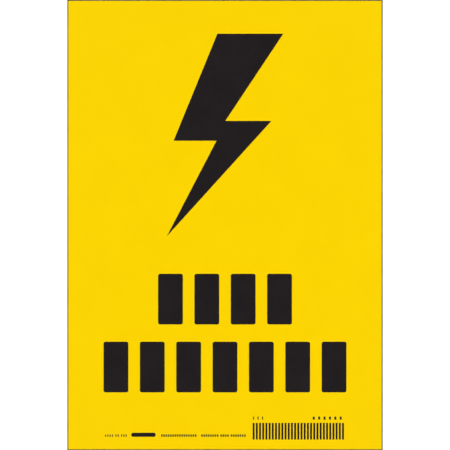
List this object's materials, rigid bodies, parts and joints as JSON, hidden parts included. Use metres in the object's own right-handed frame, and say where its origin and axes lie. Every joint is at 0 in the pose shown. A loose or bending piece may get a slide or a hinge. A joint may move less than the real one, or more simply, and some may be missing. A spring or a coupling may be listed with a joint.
{
  "type": "safety sign",
  "caption": "Flat upright-format electrical hazard sign: a thin yellow sheet printed in black with a bolt symbol above two rows of plain blocks, and a patch of even stripes at its foot.",
  "frame": {"origin": "middle of the sheet's flat back face, which is the adhesive side and the face it lies on", "axes": "+Z out of the printed face, +Y towards the top of the print, +X to the right of the print"},
  "size_m": [0.1778, 0.254, 0.0003],
  "materials": {
    "yellow_vinyl": "satin",
    "black_ink": "satin"
  },
  "bodies": {
    "root": {"vinyl_sheet": "yellow_vinyl", "border_line": "black_ink", "bolt_symbol": "black_ink", "message_blocks": "black_ink", "footer_stripes": "black_ink"}
  },
  "joints": []
}
